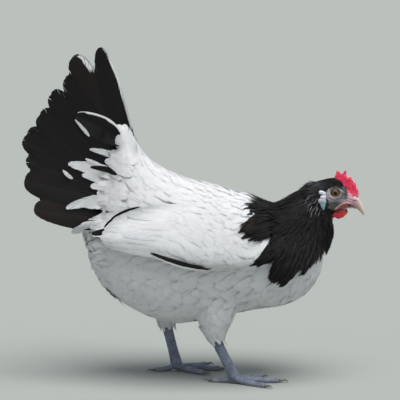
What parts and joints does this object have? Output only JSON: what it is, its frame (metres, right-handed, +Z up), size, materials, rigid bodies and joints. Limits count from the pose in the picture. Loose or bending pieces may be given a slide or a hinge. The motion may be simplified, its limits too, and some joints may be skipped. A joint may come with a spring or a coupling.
{
  "type": "chicken",
  "caption": "Life-size still model of a Lakenvelder hen, standing with its tail raised: white body, black neck hackle and tail, small red comb, slate legs.",
  "frame": {"origin": "on the floor, under the middle of the box round the whole hen", "axes": "+X the way the hen looks, +Y its left, +Z up"},
  "size_m": [0.408, 0.16, 0.3983],
  "materials": {
    "white_plumage": "soft white body feathers, matt, faintly blue-grey in the shade",
    "black_plumage": "black feathers with a slight sheen, brown where the sun has bleached the tail",
    "comb_skin": "moist red skin with a pebbled surface, paler at the points",
    "lobe_skin": "smooth bluish-white skin",
    "beak_horn": "satin horn, pinkish with a pale ridge",
    "eye": "wet gloss, brown iris and black pupil",
    "slate_leg": "slate-blue scales, satin",
    "claw_horn": "grey horn, satin"
  },
  "bodies": {
    "root": {"beak_lower": "beak_horn", "beak_upper": "beak_horn", "claw_left_hind": "claw_horn", "claw_left_inner": "claw_horn", "claw_left_middle": "claw_horn", "claw_left_outer": "claw_horn", "claw_right_hind": "claw_horn", "claw_right_inner": "claw_horn", "claw_right_middle": "claw_horn", "claw_right_outer": "claw_horn", "comb": "comb_skin", "earlobe_left": "lobe_skin", "earlobe_right": "lobe_skin", "eye_left": "eye", "eye_right": "eye", "foot_left": "slate_leg", "foot_right": "slate_leg", "head": "black_plumage", "neck": "black_plumage", "shank_left": "slate_leg", "shank_right": "slate_leg", "tail": "black_plumage", "thigh_left": "white_plumage", "thigh_right": "white_plumage", "trunk": "white_plumage", "wattle_left": "comb_skin", "wattle_right": "comb_skin", "wing_left": "white_plumage", "wing_right": "white_plumage"}
  },
  "joints": []
}
